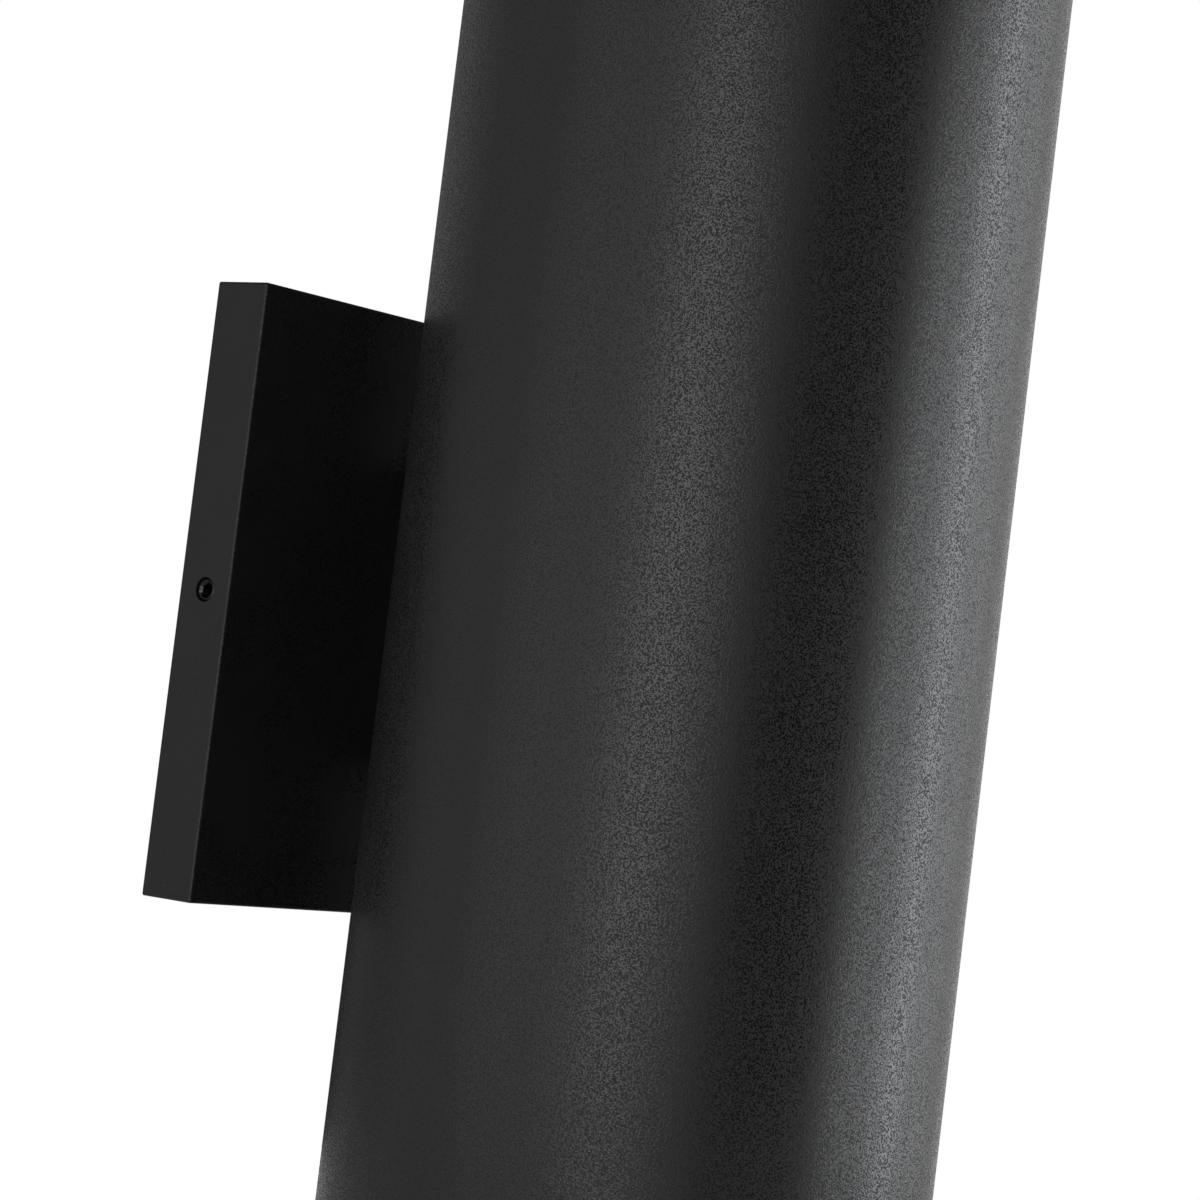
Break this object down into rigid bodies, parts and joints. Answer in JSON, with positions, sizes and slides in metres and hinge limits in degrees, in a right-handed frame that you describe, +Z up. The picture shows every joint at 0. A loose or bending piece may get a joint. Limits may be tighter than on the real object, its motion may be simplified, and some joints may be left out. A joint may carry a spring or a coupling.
{
  "type": "tube wall light",
  "caption": "Up-and-down cylinder wall light on a thin square canopy, with a recessed glass lens at each end of the tube and hex-socket set screws in the canopy's sides.",
  "frame": {"origin": "middle of the canopy and of the wall bracket, on the wall's surface", "axes": "+Z up along the tube, +Y into the wall, so the light stands out towards -Y; +X to the right for someone facing the wall"},
  "size_m": [0.127, 0.1457, 0.2986],
  "materials": {
    "black_powder_coat": "fine-textured black powder coat",
    "zinc_plated_sheet": "zinc-plated sheet steel",
    "green_screw": "green dyed earth screw",
    "black_screw": "black oxide steel",
    "plated_fastener": "zinc-plated fasteners",
    "cast_aluminium": "as-cast aluminium",
    "extruded_aluminium": "mill-finish extrusion",
    "spun_reflector": "semi-specular anodised",
    "clear_glass": "clear tempered glass",
    "silicone_gasket": "black silicone",
    "foam_gasket": "closed-cell foam",
    "white_moulding": "white heat-proof plastic",
    "driver_case": "off-white plastic case",
    "terminal_moulding": "dark nylon",
    "led_ceramic": "white ceramic board",
    "led_phosphor": "yellow phosphor silicone",
    "lead_insulation": "silicone-insulated wire"
  },
  "bodies": {
    "wall_side": {"wall_bracket": "zinc_plated_sheet", "ground_screw": "green_screw"},
    "light": {"canopy": "black_powder_coat", "canopy_gasket": "foam_gasket", "saddle": "black_powder_coat", "saddle_screws": "plated_fastener", "wire_nipple": "plated_fastener", "nipple_nut": "plated_fastener", "terminal_block": "terminal_moulding", "terminal_screws": "plated_fastener", "supply_leads": "lead_insulation", "tube": "black_powder_coat", "backing_plate": "extruded_aluminium", "driver_bracket": "zinc_plated_sheet", "bracket_screws": "plated_fastener", "driver": "driver_case", "driver_screws": "plated_fastener", "tie_rods": "plated_fastener", "tie_rod_nuts": "plated_fastener", "upper_heat_sink": "cast_aluminium", "upper_led_board": "led_ceramic", "upper_led_dome": "led_phosphor", "upper_led_holder": "white_moulding", "upper_holder_screws": "plated_fastener", "upper_led_leads": "lead_insulation", "upper_reflector": "spun_reflector", "upper_lens_gasket": "silicone_gasket", "upper_lens": "clear_glass", "upper_bezel": "black_powder_coat", "upper_bezel_screws": "black_screw", "lower_heat_sink": "cast_aluminium", "lower_led_board": "led_ceramic", "lower_led_dome": "led_phosphor", "lower_led_holder": "white_moulding", "lower_holder_screws": "plated_fastener", "lower_led_leads": "lead_insulation", "lower_reflector": "spun_reflector", "lower_lens_gasket": "silicone_gasket", "lower_lens": "clear_glass", "lower_bezel": "black_powder_coat", "lower_bezel_screws": "black_screw"},
    "set_screw_left": {"set_screw_left": "black_screw"},
    "set_screw_right": {"set_screw_right": "black_screw"}
  },
  "joints": [
    {"name": "canopy_lift_off", "type": "slide", "parent": "wall_side", "child": "light", "axis": [0, -1, 0], "range_m": [0, 0.03]},
    {"name": "left_screw_travel", "type": "slide", "parent": "light", "child": "set_screw_left", "axis": [-1, 0, 0], "range_m": [0, 0.003]},
    {"name": "right_screw_travel", "type": "slide", "parent": "light", "child": "set_screw_right", "axis": [1, 0, 0], "range_m": [0, 0.003]}
  ]
}
